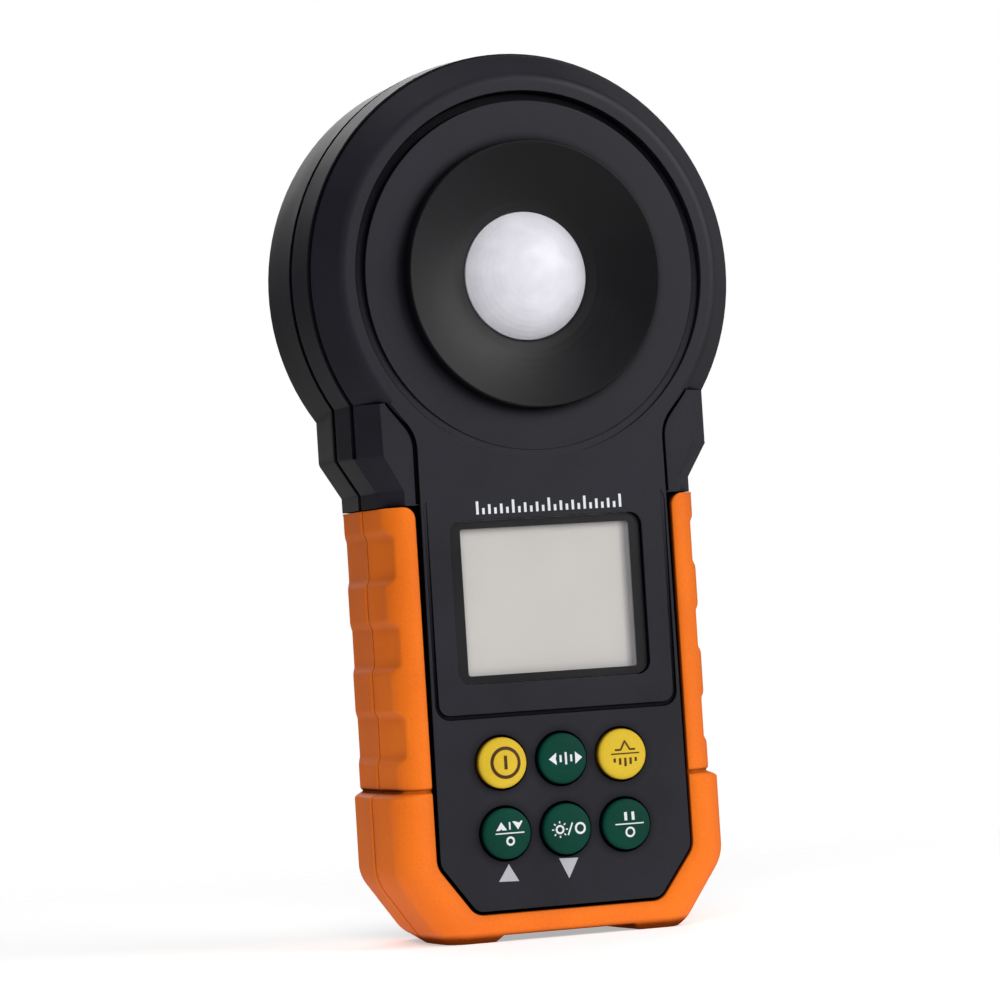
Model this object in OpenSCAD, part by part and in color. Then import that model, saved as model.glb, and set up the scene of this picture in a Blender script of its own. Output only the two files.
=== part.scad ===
// Handheld light meter: round sensor head on a keypad and display body with a soft grip overmould.
// X is the viewer's right, the display and the sensor face -Y, Z runs up the length of the meter.
// The two shells meet on the plane y = 0 and the feet stand on z = 0.

/* [Body] */
// Half width of the grip where the two shells meet
grip_half_w = 38.4; // [38:0.1:38.8]
// Height of the face panel in front of the parting plane
face_h = 17.2; // [17:0.1:17.6]
// Depth of the rear shell behind the parting plane
back_h = 22; // [21.8:0.1:22.6]
// Height of the top of the grip overmould
grip_top_z = 99.9; // [99.4:0.1:100.6]
// Height of the groove between the grip and the bumper
notch_z = 35.3; // [34.8:0.1:35.8]
// Half width of the bumper
bumper_half_w = 40.4; // [39.8:0.1:40.8]
// Depth of the finger pockets in the grip, beside the parting plane
pocket_depth = 0.8; // [0.5:0.1:0.9]

/* [Head] */
// Height of the centre of the sensor head
head_z = 151.2; // [150:0.2:153]
// Radius of the head where the two shells meet
head_r = 52; // [51.6:0.1:52.4]
// Radius of the flat front face of the head
head_face_r = 45.7; // [45.2:0.1:46]
// Half width of the shoulders under the head
shoulder_half_w = 43.7; // [43.1:0.1:44]
// Outer radius of the ring groove in the head's face
groove_r = 42; // [41:0.1:43]

/* [Sensor] */
// Outer radius of the sensor bezel
bezel_r = 30.5; // [30:0.1:31]
// Height of the bezel's rim
bezel_h = 20.8; // [20.4:0.1:21.2]
// Radius of the diffuser dome
dome_r = 14.7; // [14.4:0.1:14.8]

/* [Display] */
// Height of the middle of the display
lcd_z = 77.2; // [76.5:0.1:78]
// Width of the visible display
lcd_w = 41.4; // [40:0.2:42]
// Height of the visible display
lcd_l = 33.4; // [32:0.2:34]

/* [Keys] */
// Distance between the key columns
key_pitch = 14.66; // [14.3:0.02:15]
// Height of the upper row of keys
key_row_1_z = 40.55; // [40:0.1:41]
// Height of the lower row of keys
key_row_2_z = 24.49; // [24:0.1:25]
// Radius of a key
key_r = 5.8; // [5.5:0.1:6]
// Travel of a key
key_travel = 1.1; // [0.8:0.1:1.1]

/* [Battery] */
// Half width of the battery cover
cover_half_w = 17; // [16.5:0.5:18]
// Height of the cover's lower edge
cover_z0 = 11; // [10:0.5:12]
// Height of the cover's upper edge
cover_z1 = 80; // [79:0.5:82]
// Radius of the tapped hole of the tripod insert, 1/4 in by 20 tap drill
tripod_r = 2.55; // [2.5:0.05:2.6]
// Height of the tripod insert
tripod_z = 93; // [92:0.5:94]

/* [Hidden] */
$fn = 96;

// Clearances
seam = 2;             // width of the groove between the shells
seam_depth = 1.2;
skin_seam = 0.5;      // the same between the two overmoulds
skin_gap = 0.05;      // between the overmould and the shell it is moulded on
panel_gap = 0.8;      // groove between the overmould and the face panel
skin_top_gap = 0.25;  // groove between the overmould and the collar above it
eps = 0.01;
far = 60;

// Shell sections, as heights from the parting plane
edge_h = 11.1;        // where the head's side wall turns into its bevel
edge_r = 51.6;
edge_groove_w = 1.1;  // groove between the side wall and the bevel
edge_groove_depth = 1.1;
face_rounding = 3;
back_edge_h = 19;     // the same on the back
back_edge_r = 51.2;
back_face_r = 47.9;
core_half_w = grip_half_w - 1.8;
core_step_h = 12;     // the core narrows in steps under the rounded overmould
core_top_h = 14.6;
core_step = 2.9;
back_core_inset = 1.7;
wall = 2;
face_wall = 2.4;
inner_h = face_h - face_wall;
back_wall = 2;
back_inner_h = back_h - back_wall;
shoulder_h = 16.6;    // the flats beside the panel, under the head
back_lean = 2.2;      // the neck and the collar narrow by this much towards the back
back_bevel = 3;
ring_depth = [0, 2.4]; // depth of the ring groove at its bottom and its top
ring_w = 2.4;
ring_slope = 0.15;
flat_groove_w = 0.9;  // groove between the panel and the shoulder flats
flat_groove_depth = 0.8;

// Overmould
skin_h = 17;
skin_r = 5.5;
skin_draft = 0.2;
back_skin_r = 6;
back_skin_draft = 1.55;
back_bumper_draft = 2.1;
notch_w = 1.2;
notch_depth = 1.1;
foot_h = 1.5;
foot_cut = 1.2;       // cut off the bumper's rounding to leave two flat pads
foot_x = 17.6;
pockets = [[83.8, 93], [64, 72.5], [43.2, 52.2]];
pocket_lean = 0.8;    // extra depth of a front pocket where it reaches the face

// Outlines seen from the front: the right half, from the bottom up, as [x, z, corner radius]
bumper_half = [[28.8, -foot_cut, 9.5], [bumper_half_w, 15.2, 10], [bumper_half_w, notch_z, 0.8]];
core_half = [[28.6, 3.6, 6], [core_half_w, 16.5, 8], [core_half_w, grip_top_z, 0]];
panel_half = [[22.4, 7.2, 3], [30.6, 18.2, 4], [30, 115.8, 9], [36, 123.3, 0], [20, 130, 0]];
back_panel_half = [[22.4, 7.2, 3], [30.6, 18.2, 4], [30.6, grip_top_z + 4, 0]];
collar_half_w = grip_half_w + 0.25;
neck_z0 = 103.2;
bend_z = 111.3;
neck_z1 = 123.3;
collar_z1 = 103.6;

// Half widths of the neck at the collar, at the bend and at the head
neck_side = [collar_half_w, shoulder_half_w, shoulder_half_w];
shoulder_edge = [33.6, 38, 38.2];

// Sensor stack, as heights from the parting plane
bezel_hole_r = 29;
spigot_r = 28.7;
dish_r = bezel_r - 0.3;
dish_bottom_r = 15.4;
dish_bottom_h = 14.5;
dish_curve = 1.35;
bezel_foot_h = 12.9;
gasket_h = 12.1;
flange_h = 11.4;
clamp_h = 10;
clamp_r = 33.5;
dome_base_h = 14.3;
dome_top_h = 22;
dome_wall = 1.8;
dome_flange_r = 17.5;
sensor_screw_r = 24;
board_h = 2.4;
board_t = 1.6;

// Display stack
window_w = 46.6;
window_l = 36.9;
window_h = 15.9;
window_t = 1.1;
fit_gap = 0.2;
glass_h = 14.6;
glass_t = 1.9;
light_t = 2;
zebra_w = 2.2;
frame_w = 49;
frame_l = 41;

// Main board and keypad
main_h = 6.5;
main_t = 1.6;
main_screw_pos = [[23.5, 53.6], [-23.5, 53.6], [23.5, 101], [-23.5, 101]];
pill_gap = 0.1;       // left between a pressed key's pill and the board
pill_h = main_h + key_travel + pill_gap;
pill_t = 0.8;
flange_t = 0.9;
key_top_h = 19.3;
key_wall_h = 18.1;    // where the key's side wall turns into its rounded top
key_hole_gap = 0.55;
key_flange = 1;
mat_h = 9.3;
mat_t = 1.2;
mat_half_w = 22.2;
mat_z0 = 15.5;
mat_z1 = 49.5;
mat_hole_r = 4.2;
columns = [-key_pitch, 0, key_pitch];

// Screws
case_screw_pos = [[25.5, 19], [-25.5, 19], [30, 184], [-30, 184]];
small_r = 0.9;        // small self-tapping screw
pilot_r = 0.98;
case_r = 1.3;
case_pilot_r = 1.38;
cover_screw_z = 76;
cover_screw_r = 1.45;
cover_t = 1.8;
cover_h = 20.2;
insert_r = 2.6;

// Battery, a 9 V block with its terminals up
cell_half_w = 13.25;
cell_t = 17.5;
cell_y = 2.1;
cell_z0 = 14.5;
cell_l = 46;
terminal_l = 2.5;
terminal_x = 6.35;
bay_wall = 1.5;
bay_gap = 0.65;
bay_z1 = 71;
snap_l = 5.5;
lead_r = 0.75;

// Geometry helpers -------------------------------------------------------------------------------

function unit(v) = v / norm(v);
function left_of(v) = [-v.y, v.x];

// Whole outline, counter-clockwise, from its right half
function whole(half) = concat(half, [for (i = [len(half) - 1:-1:0]) [-half[i].x, half[i].y, half[i].z]]);

// The corner moved inwards by d, with its radius kept concentric
function moved_corner(a, b, c, d) =
    let (u = unit([b.x - a.x, b.y - a.y]), v = unit([c.x - b.x, c.y - b.y]))
    let (n = left_of(u), m = left_of(v), bend = u.x * v.y - u.y * v.x >= 0 ? 1 : -1)
    let (p = [b.x, b.y] + d * (n + m) / (1 + n * m))
    [p.x, p.y, max(b.z - bend * d, 0)];

function moved_in(corners, d) =
    let (n = len(corners))
    [for (i = [0:n - 1]) moved_corner(corners[(i + n - 1) % n], corners[i], corners[(i + 1) % n], d)];

// Points of one rounded corner
function corner_arc(a, b, c, steps = 6) =
    let (o = [b.x, b.y], u = unit([a.x, a.y] - o), v = unit([c.x, c.y] - o))
    let (half = acos(u * v) / 2, centre = o + unit(u + v) * b.z / sin(half))
    let (p = o + u * b.z / tan(half) - centre, q = o + v * b.z / tan(half) - centre)
    let (start = atan2(p.y, p.x), sweep = atan2(p.x * q.y - p.y * q.x, p * q))
    b.z < 0.05 ? [o] :
    [for (i = [0:steps]) let (w = start + sweep * i / steps) centre + b.z * [cos(w), sin(w)]];

function rounded(corners) =
    let (n = len(corners))
    [for (i = [0:n - 1]) each corner_arc(corners[(i + n - 1) % n], corners[i], corners[(i + 1) % n])];

module outline(half, inset = 0) {
    polygon(rounded(moved_in(whole(half), inset)));
}

// A front-view outline made solid between two heights from the parting plane
module slab(h0, h1) {
    translate([0, -h0, 0]) rotate([90, 0, 0]) linear_extrude(h1 - h0) children();
}

module post(x, z, r, h0, h1) {
    translate([x, -h0, z]) rotate([90, 0, 0]) cylinder(r = r, h = h1 - h0);
}

module at_all(places) {
    for (p = places) translate([p.x, 0, p.y]) children();
}

// A turned part about the sensor axis, from points of [radius, height]
module turned(points) {
    translate([0, 0, head_z]) rotate([90, 0, 0]) rotate_extrude($fn = 144) polygon(points);
}

module rect(half_w, z0, z1, r = 0) {
    polygon(rounded([[half_w, z0, r], [half_w, z1, r], [-half_w, z1, r], [-half_w, z0, r]]));
}

module block(half_w, z0, z1, h0, h1, r = 0) {
    slab(h0, h1) rect(half_w, z0, z1, r);
}

module mirrored() {
    children();
    mirror([1, 0, 0]) children();
}

module around_sensor(start) {
    for (a = [start:120:start + 240])
        translate([sensor_screw_r * cos(a), 0, head_z + sensor_screw_r * sin(a)]) children();
}

// Screw with a round head that lies against height h, its shank pointing to the front
module screw(r, head, head_t, length, h) {
    difference() {
        union() {
            post(0, 0, r, h - eps, h + length);
            post(0, 0, head, h - head_t, h);
        }
        for (a = [0, 90])
            translate([0, -h + head_t, 0]) rotate([0, a, 0])
                cube([head * 1.2, head_t, r * 0.5], center = true);
    }
}

// Half of a cross-section seen from above: side wall, rounded edge, flat
function edge_section(half_w, draft, h, r) = concat(
    [[0, 0], [half_w, 0]],
    [for (i = [0:10]) let (w = 90 * i / 10) [half_w - draft - r + r * cos(w), h - r + r * sin(w)]],
    [[0, h]]
);

// Tube along points, for wires
function between(p, i, t) =
    let (n = len(p) - 1, a = p[max(i - 1, 0)], b = p[i], c = p[min(i + 1, n)], d = p[min(i + 2, n)])
    0.5 * (2 * b + (c - a) * t + (2 * a - 5 * b + 4 * c - d) * t * t + (3 * b - a - 3 * c + d) * t * t * t);
function smooth(p, steps) = concat(
    [for (i = [0:len(p) - 2]) for (k = [0:steps - 1]) between(p, i, k / steps)],
    [p[len(p) - 1]]
);
module tube(points, r, sides = 8) {
    n = len(points);
    rings = [for (i = [0:n - 1])
        let (t = unit(points[min(i + 1, n - 1)] - points[max(i - 1, 0)]))
        let (side = unit(cross(t, [1, 0, 0])), up = cross(side, t))
        for (k = [0:sides - 1]) points[i] + r * (cos(360 * k / sides) * side + sin(360 * k / sides) * up)];
    walls = [for (i = [0:n - 2]) for (k = [0:sides - 1])
        let (a = i * sides + k, b = i * sides + (k + 1) % sides) [a, b, b + sides, a + sides]];
    ends = [[for (k = [sides - 1:-1:0]) k], [for (k = [0:sides - 1]) (n - 1) * sides + k]];
    polyhedron(points = rings, faces = [for (f = concat(walls, ends)) [for (k = [len(f) - 1:-1:0]) f[k]]]);
}

// Shells -----------------------------------------------------------------------------------------

module front_head() {
    groove_h0 = edge_h - edge_groove_w / 2;
    groove_r0 = edge_r - edge_groove_depth;
    bevel = (edge_r - head_face_r) / (face_h - edge_h);
    turned(concat(
        [[0, 0], [head_r - seam_depth, 0], [head_r - seam_depth, seam / 2], [head_r, seam / 2],
            [edge_r, groove_h0], [groove_r0, groove_h0 + 0.1], [groove_r0, groove_h0 + edge_groove_w - 0.1],
            [edge_r - bevel * edge_groove_w / 2, groove_h0 + edge_groove_w]],
        corner_arc([edge_r, edge_h], [head_face_r, face_h, face_rounding], [0, face_h]),
        [[0, face_h]]
    ));
}

// Outline of the neck, from its three half widths, made narrower by inset
module neck(widths, inset = 0) {
    outline([[widths[0] - inset, neck_z0, 0], [widths[1] - inset, bend_z, 2],
        [widths[2] - inset, neck_z1, 0]]);
}

module front_neck() {
    hull() {
        slab(seam / 2, seam) neck(neck_side);
        slab(edge_h - eps, edge_h) neck(neck_side, 0.3);
        slab(shoulder_h - eps, shoulder_h) neck(shoulder_edge);
    }
    slab(0, seam / 2) neck(neck_side, seam_depth);
}

module front_collar() {
    translate([0, 0, grip_top_z]) linear_extrude(collar_z1 - grip_top_z)
        for (s = [-1, 1])
            polygon([[0, -seam / 2], [s * collar_half_w, -seam / 2],
                [s * (collar_half_w - skin_draft), -edge_h], [s * shoulder_edge[0], -shoulder_h],
                [0, -shoulder_h]]);
    translate([0, 0, grip_top_z]) linear_extrude(collar_z1 - grip_top_z)
        translate([-collar_half_w + seam_depth, -seam / 2])
            square([2 * (collar_half_w - seam_depth), seam / 2]);
}

module front_cavity() {
    turned([[0, -eps], [head_r - 2.3, -eps], [head_r - 2.3, 9.5], [45.2, 12], [38.5, 12], [38, inner_h],
        [0, inner_h]]);
    slab(-eps, 10.2) outline(core_half, wall);
    slab(-eps, 12.6) outline(core_half, wall + 2.9);
    slab(-eps, inner_h) outline(core_half, wall + 5.5);
    slab(-eps, 10.2) outline([[collar_half_w - 3, 95, 0], [shoulder_half_w - 3, bend_z, 1],
        [shoulder_half_w - 3, 126, 0]]);
    slab(-eps, inner_h) outline([[28.8, 90, 0], [28.8, 128, 0]]);
}

module front_bosses() {
    at_all(case_screw_pos) post(0, 0, 2.8, 0, inner_h + 0.5);
    at_all(main_screw_pos) post(0, 0, 2.2, main_h, inner_h + 0.5);
}

// Shallow groove under and beside the display, fading out upwards
module display_groove() {
    translate([0, -face_h + 0.7, 50.8]) rotate([0.7, 0, 0]) rotate([90, 0, 0]) linear_extrude(3)
        difference() {
            rect(29.6, 0, 51, 3.5);
            rect(28.7, 1.1, 60, 2.6);
        }
}

// Ring groove in the head's face, deepest at the top
module ring_groove() {
    tilt = asin((ring_depth[1] - ring_depth[0]) / (2 * groove_r));
    depth = (ring_depth[0] + ring_depth[1]) / 2;
    over = 3;
    translate([0, -face_h + depth, head_z]) rotate([90 - tilt, 0, 0]) rotate_extrude($fn = 144)
        polygon([[groove_r - ring_slope, 0], [groove_r + 0.3, depth], [groove_r + 0.3, depth + over],
            [groove_r + 0.3 - ring_w, depth + over], [groove_r + 0.3 - ring_w, depth],
            [groove_r + 0.3 - ring_w + ring_slope, 0]]);
}

// Carries the groove of the head's edge down the sides of the neck as far as the bend
module neck_groove() {
    slab(edge_h - edge_groove_w / 2, edge_h + edge_groove_w / 2) difference() {
        neck(neck_side, -1);
        neck(neck_side, 0.3 + edge_groove_depth);
        rect(far, 0, bend_z);
    }
}

// Grooves that set the shoulder flats apart from the panel
module flat_grooves() {
    slab(shoulder_h - flat_groove_depth, far) difference() {
        outline(panel_half, -flat_groove_w);
        outline(panel_half);
        translate([0, head_z]) circle(r = head_face_r + 0.2);
        rect(far, 0, neck_z0 - 3);
    }
}

module front_shell() {
    color("#34353a") difference() {
        union() {
            difference() {
                union() {
                    front_head();
                    front_neck();
                    front_collar();
                    slab(seam / 2, core_step_h) outline(core_half);
                    slab(0, seam / 2) outline(core_half, seam_depth);
                    slab(core_step_h - eps, core_top_h) outline(core_half, core_step);
                    slab(core_top_h - 1, face_h) outline(panel_half);
                }
                front_cavity();
            }
            front_bosses();
        }
        display_groove();
        ring_groove();
        neck_groove();
        flat_grooves();
        turned([[0, 8], [bezel_hole_r, 8], [bezel_hole_r, 25], [0, 25]]);
        block(window_w / 2 + fit_gap, lcd_z - window_l / 2 - fit_gap, lcd_z + window_l / 2 + fit_gap,
            inner_h - 1, far, 3);
        for (x = columns, z = [key_row_1_z, key_row_2_z]) post(x, z, key_r + key_hole_gap, inner_h - 1, far);
        at_all(case_screw_pos) post(0, 0, case_pilot_r, -1, 11);
        at_all(main_screw_pos) post(0, 0, pilot_r, 0, 12);
    }
}

module rear_head() {
    turned([
        [0, 0], [0, -back_h], [back_face_r, -back_h], [back_edge_r, -back_edge_h], [head_r, -seam / 2],
        [head_r - seam_depth, -seam / 2], [head_r - seam_depth, 0]
    ]);
}

module rear_neck() {
    hull() {
        slab(-seam, -seam / 2) neck(neck_side);
        slab(-back_edge_h, -back_edge_h + eps) neck(neck_side, back_lean);
        slab(-back_h, -back_h + eps) neck(neck_side, back_lean + back_bevel);
    }
    slab(-seam / 2, 0) neck(neck_side, seam_depth);
    translate([0, 0, grip_top_z]) linear_extrude(collar_z1 - grip_top_z)
        for (s = [-1, 1])
            polygon([[0, seam / 2], [s * collar_half_w, seam / 2],
                [s * (collar_half_w - back_lean), back_edge_h],
                [s * (collar_half_w - back_lean - back_bevel), back_h], [0, back_h]]);
}

module rear_cavity() {
    turned([
        [0, eps], [head_r - 2.3, eps], [back_edge_r - 2.3, -17.5], [back_face_r - 3, -back_inner_h],
        [0, -back_inner_h]
    ]);
    slab(-16, eps) outline(core_half, wall + back_core_inset);
    slab(-back_inner_h, eps) outline(core_half, wall + 5.5);
    slab(-16, eps) outline([[collar_half_w - 5, 95, 0], [shoulder_half_w - 5, bend_z, 1],
        [shoulder_half_w - 5, 126, 0]]);
    slab(-back_inner_h, eps) outline([[29, 90, 0], [29, 128, 0]]);
}

module battery_bay() {
    difference() {
        block(cell_half_w + bay_gap + bay_wall, cell_z0 - bay_gap - bay_wall, bay_z1 + bay_wall,
            -back_inner_h, -0.6);
        block(cell_half_w + bay_gap, cell_z0 - bay_gap, bay_z1, -far, -cell_y + 0.3);
    }
}

module rear_shell() {
    color("#303136") difference() {
        union() {
            difference() {
                union() {
                    rear_head();
                    rear_neck();
                    slab(-17.5, -seam / 2) outline(core_half, back_core_inset);
                    slab(-seam / 2, 0) outline(core_half, back_core_inset + seam_depth);
                    slab(-19.6, -17) outline(core_half, back_core_inset + 3);
                    slab(-back_h, -19) outline(back_panel_half);
                }
                rear_cavity();
            }
            battery_bay();
            at_all(case_screw_pos) post(0, 0, 4.4, -back_inner_h - 0.5, 0);
            post(0, tripod_z, 7, -back_inner_h - 0.5, -11);
            post(0, cover_screw_z, 4.6, -back_inner_h + 0.8, -11);
        }
        block(cell_half_w + bay_gap, cell_z0 - bay_gap, bay_z1, -far, -cell_y + 0.3);
        block(cover_half_w + fit_gap, cover_z0 - fit_gap, cover_z1 + fit_gap, -far, -cover_h, 3);
        block(cover_half_w - 2.2, cover_z0 + 3, cell_z0 + 2, -far, -18.8);
        block(7, bay_z1 - 1, bay_z1 + bay_wall + 1, -9, 1);
        at_all(case_screw_pos) {
            post(0, 0, 1.7, -far, 1);
            post(0, 0, 3.1, -far, -16);
        }
        post(0, tripod_z, 4, -far, -12.5);
        post(0, cover_screw_z, insert_r, -far, -12.5);
    }
}

// Soft overmould ---------------------------------------------------------------------------------

module skin_rails(half_w, draft, h, r, lean) {
    section = edge_section(half_w, draft, h, r);
    notch_section = edge_section(half_w - notch_depth, draft, h - notch_depth, r);
    difference() {
        translate([0, 0, notch_z - 1]) linear_extrude(grip_top_z - skin_top_gap - notch_z + 1)
            mirrored() polygon([for (p = section) [p.x, -p.y]]);
        floor_w = half_w - pocket_depth;
        for (z = pockets)
            translate([0, 0, z[0]]) linear_extrude(z[1] - z[0]) mirrored()
                polygon([[floor_w, 0], [floor_w - draft * h / (h - r) - lean, -h], [far, -h], [far, 0]]);
        translate([0, 0, notch_z - 0.2]) linear_extrude(notch_w) difference() {
            square(2 * far, center = true);
            mirrored() polygon([for (p = notch_section) [p.x, -p.y]]);
        }
    }
}

module bumper(draft, h, r) {
    hull() {
        slab(0, eps) outline(bumper_half);
        for (i = [0:6]) {
            inset = r - r * cos(15 * i);
            height = h - r + r * sin(15 * i);
            slab(height - eps, height) outline(bumper_half, inset + draft);
        }
    }
}

module feet_recess() {
    slab(-far, far) polygon([[-foot_x, -1], [foot_x, -1], [foot_x, 0], [foot_x - foot_h, foot_h],
        [-foot_x + foot_h, foot_h], [-foot_x, 0]]);
}

module floor_cut() {
    translate([-far, -far, -far]) cube([2 * far, 2 * far, far]);
}

module front_overmould() {
    color("#f07820") difference() {
        union() {
            skin_rails(grip_half_w, skin_draft, skin_h, skin_r, pocket_lean);
            bumper(skin_draft, skin_h, skin_r);
        }
        slab(-1, skin_seam / 2) outline([[60, -20, 0], [60, 120, 0]]);
        slab(-1, core_step_h + skin_gap) outline(core_half, -skin_gap);
        slab(-1, core_top_h + skin_gap) outline(core_half, core_step - skin_gap);
        slab(-1, far) outline(panel_half, -panel_gap);
        feet_recess();
        floor_cut();
    }
}

module rear_overmould() {
    color("#e06e1c") difference() {
        mirror([0, 1, 0]) union() {
            skin_rails(grip_half_w, back_skin_draft, back_h, back_skin_r, 0);
            bumper(back_bumper_draft, back_h, back_skin_r);
        }
        slab(-skin_seam / 2, 1) outline([[60, -20, 0], [60, 120, 0]]);
        slab(-17.5 - skin_gap, 1) outline(core_half, back_core_inset - skin_gap);
        slab(-19.6 - skin_gap, 1) outline(core_half, back_core_inset + 3 - skin_gap);
        slab(-far, 1) outline(back_panel_half, -panel_gap);
        feet_recess();
        floor_cut();
    }
}

// Sensor -----------------------------------------------------------------------------------------

function dish(t) = [dish_bottom_r + (dish_r - dish_bottom_r) * t,
    dish_bottom_h + (bezel_h - dish_bottom_h) * pow(t, dish_curve)];

module sensor_bezel() {
    color("#2f3034") difference() {
        union() {
            turned(concat(
                [[spigot_r, face_h + skin_gap], [bezel_r, face_h + skin_gap], [bezel_r, bezel_h - 0.2]],
                [for (i = [8:-1:0]) dish(i / 8)],
                [[dome_r + 0.25, dish_bottom_h - 0.3], [dome_r + 0.25, bezel_foot_h], [19.5, bezel_foot_h],
                    [25, inner_h], [spigot_r, inner_h]]
            ));
            around_sensor(30) post(0, 0, 2.4, flange_h, 15.5);
        }
        around_sensor(30) post(0, 0, pilot_r, flange_h - 1, 14.6);
    }
}

module diffuser_dome() {
    cap = dome_top_h - dome_base_h;
    sphere_r = (dome_r * dome_r + cap * cap) / (2 * cap);
    sweep = asin(dome_r / sphere_r);
    inner_r = sphere_r - dome_wall;
    centre_h = dome_top_h - sphere_r;
    inner_sweep = asin((dome_r - dome_wall) / inner_r);
    color("#eceaf2") turned(concat(
        [[dome_flange_r, flange_h], [dome_flange_r, gasket_h], [dome_r, gasket_h]],
        [for (i = [12:-1:0]) let (w = sweep * i / 12) [sphere_r * sin(w), centre_h + sphere_r * cos(w)]],
        [for (i = [0:12]) let (w = inner_sweep * i / 12) [inner_r * sin(w), centre_h + inner_r * cos(w)]],
        [[dome_r - dome_wall, flange_h]]
    ));
}

module dome_gasket() {
    color("#1a1a1c") turned([[dome_r + 0.4, gasket_h], [dome_flange_r, gasket_h], [dome_flange_r, bezel_foot_h],
        [dome_r + 0.4, bezel_foot_h]]);
}

module sensor_clamp_plate() {
    color("#26272a") difference() {
        union() {
            turned([[12.5, clamp_h], [clamp_r, clamp_h], [clamp_r, inner_h], [clamp_r - 3, inner_h],
                [clamp_r - 3, flange_h], [12.5, flange_h]]);
            around_sensor(90) post(0, 0, 2.4, board_h, clamp_h + eps);
        }
        around_sensor(30) post(0, 0, 1.2, 0, far);
        around_sensor(90) post(0, 0, pilot_r, 0, 8.5);
    }
}

module clamp_screws() {
    color("#b8bcc2") around_sensor(30) screw(small_r, 1.9, 1.2, 4.3, clamp_h);
}

module correction_filter() {
    color("#7fae8c") turned([[0, 6.5], [8, 6.5], [8, 8], [0, 8]]);
}

module filter_holder() {
    color("#151517") turned([[7.2, 5.7], [8.1, 5.7], [8.1, 2.5], [11, board_h], [11, 9.6], [8.1, 9.6],
        [8.1, 6.5], [7.2, 6.5]]);
}

module photodiode() {
    color("#c9b06a") turned([[0, board_h], [4.9, board_h], [4.9, 3], [4.2, 3], [4.2, 5.2], [3.2, 5.2],
        [3.2, 4.9], [0, 4.9]]);
}

module sensor_board() {
    color("#1f6b3a") difference() {
        turned([[0, board_h - board_t], [27, board_h - board_t], [27, board_h], [0, board_h]]);
        around_sensor(90) post(0, 0, 1.2, -1, far);
    }
}

module sensor_board_screws() {
    color("#b8bcc2") around_sensor(90) screw(small_r, 1.9, 1.2, 5, board_h - board_t);
}

// Ribbon from the sensor board to its socket on the main board
module sensor_lead() {
    path = smooth([[3, 130], [3.1, 125], [4.4, 119], [7.8, 112], [8.6, 108], [8.6, 103.8]], 4);
    n = len(path);
    ribbon_t = 0.4;
    edge = [for (i = [0:n - 1]) ribbon_t * left_of(unit(path[min(i + 1, n - 1)] - path[max(i - 1, 0)]))];
    color("#8c9096") translate([-3, 0, 0]) rotate([90, 0, 90]) linear_extrude(6)
        polygon([for (p = concat([for (i = [0:n - 1]) path[i] + edge[i]],
            [for (i = [n - 1:-1:0]) path[i] - edge[i]])) [-p.x, p.y]]);
}

module sensor_socket() {
    color("#eeeadf") block(4.5, 99.6, 103.7, main_h, 10.5);
}

// Display ----------------------------------------------------------------------------------------

module lcd_window() {
    color([0.9, 0.92, 0.94, 0.4])
        block(window_w / 2, lcd_z - window_l / 2, lcd_z + window_l / 2, window_h - window_t, window_h, 2.8);
}

module window_border() {
    color("#18181a") difference() {
        block(window_w / 2, lcd_z - window_l / 2, lcd_z + window_l / 2, window_h, window_h + 0.25, 2.8);
        block(lcd_w / 2, lcd_z - lcd_l / 2, lcd_z + lcd_l / 2, window_h - 1, far, 0.6);
    }
}

module lcd_glass() {
    color("#c8c4be") block(22, lcd_z - 18, lcd_z + 18, glass_h - glass_t, glass_h);
}

module lcd_backlight() {
    color("#f2f2ee") block(21.5, lcd_z - 15, lcd_z + 15, glass_h - glass_t - light_t, glass_h - glass_t);
}

module lcd_frame() {
    color("#d8d8d4") difference() {
        block(frame_w / 2, lcd_z - frame_l / 2, lcd_z + frame_l / 2, main_h, glass_h);
        block(22 + fit_gap, lcd_z - 18 - fit_gap, lcd_z + 18 + fit_gap, 0, far);
    }
}

module zebra_strips() {
    color("#e77fa0") for (s = [-1, 1])
        block(20, lcd_z + s * 16.6 - zebra_w / 2, lcd_z + s * 16.6 + zebra_w / 2, main_h, glass_h - glass_t);
}

// Main board and keypad --------------------------------------------------------------------------

module main_board() {
    color("#1f6b3a") difference() {
        slab(main_h - main_t, main_h) outline([[20.5, 13, 1], [20.5, 30, 0.5], [26.5, 30, 1], [26.5, 104, 1]]);
        at_all(main_screw_pos) post(0, 0, 1.2, 0, far);
    }
}

module main_board_screws() {
    color("#b8bcc2") at_all(main_screw_pos) screw(small_r, 1.9, 1.1, 5, main_h - main_t);
}

module processor() {
    color("#202022") {
        block(5, 84, 94, 3.3, main_h - main_t);
        for (s = [-1, 1]) translate([s * 5.6 - 0.6, -4.9, 84.6]) cube([1.2, 0.3, 8.8]);
    }
}

module crystal() {
    color("#cfd2d6") translate([-13, 0, 0]) block(2.2, 86, 95, 2.6, main_h - main_t, 1.5);
}

module board_parts() {
    color("#b98f4a") {
        for (z = [30:6:78]) translate([18, 0, 0]) block(1.6, z, z + 2, 3.9, main_h - main_t);
        for (z = [33:9:78]) translate([-20, 0, 0]) block(1, z, z + 3, 3.7, main_h - main_t);
        post(18, 92, 3, 1.4, main_h - main_t);
    }
}

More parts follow.
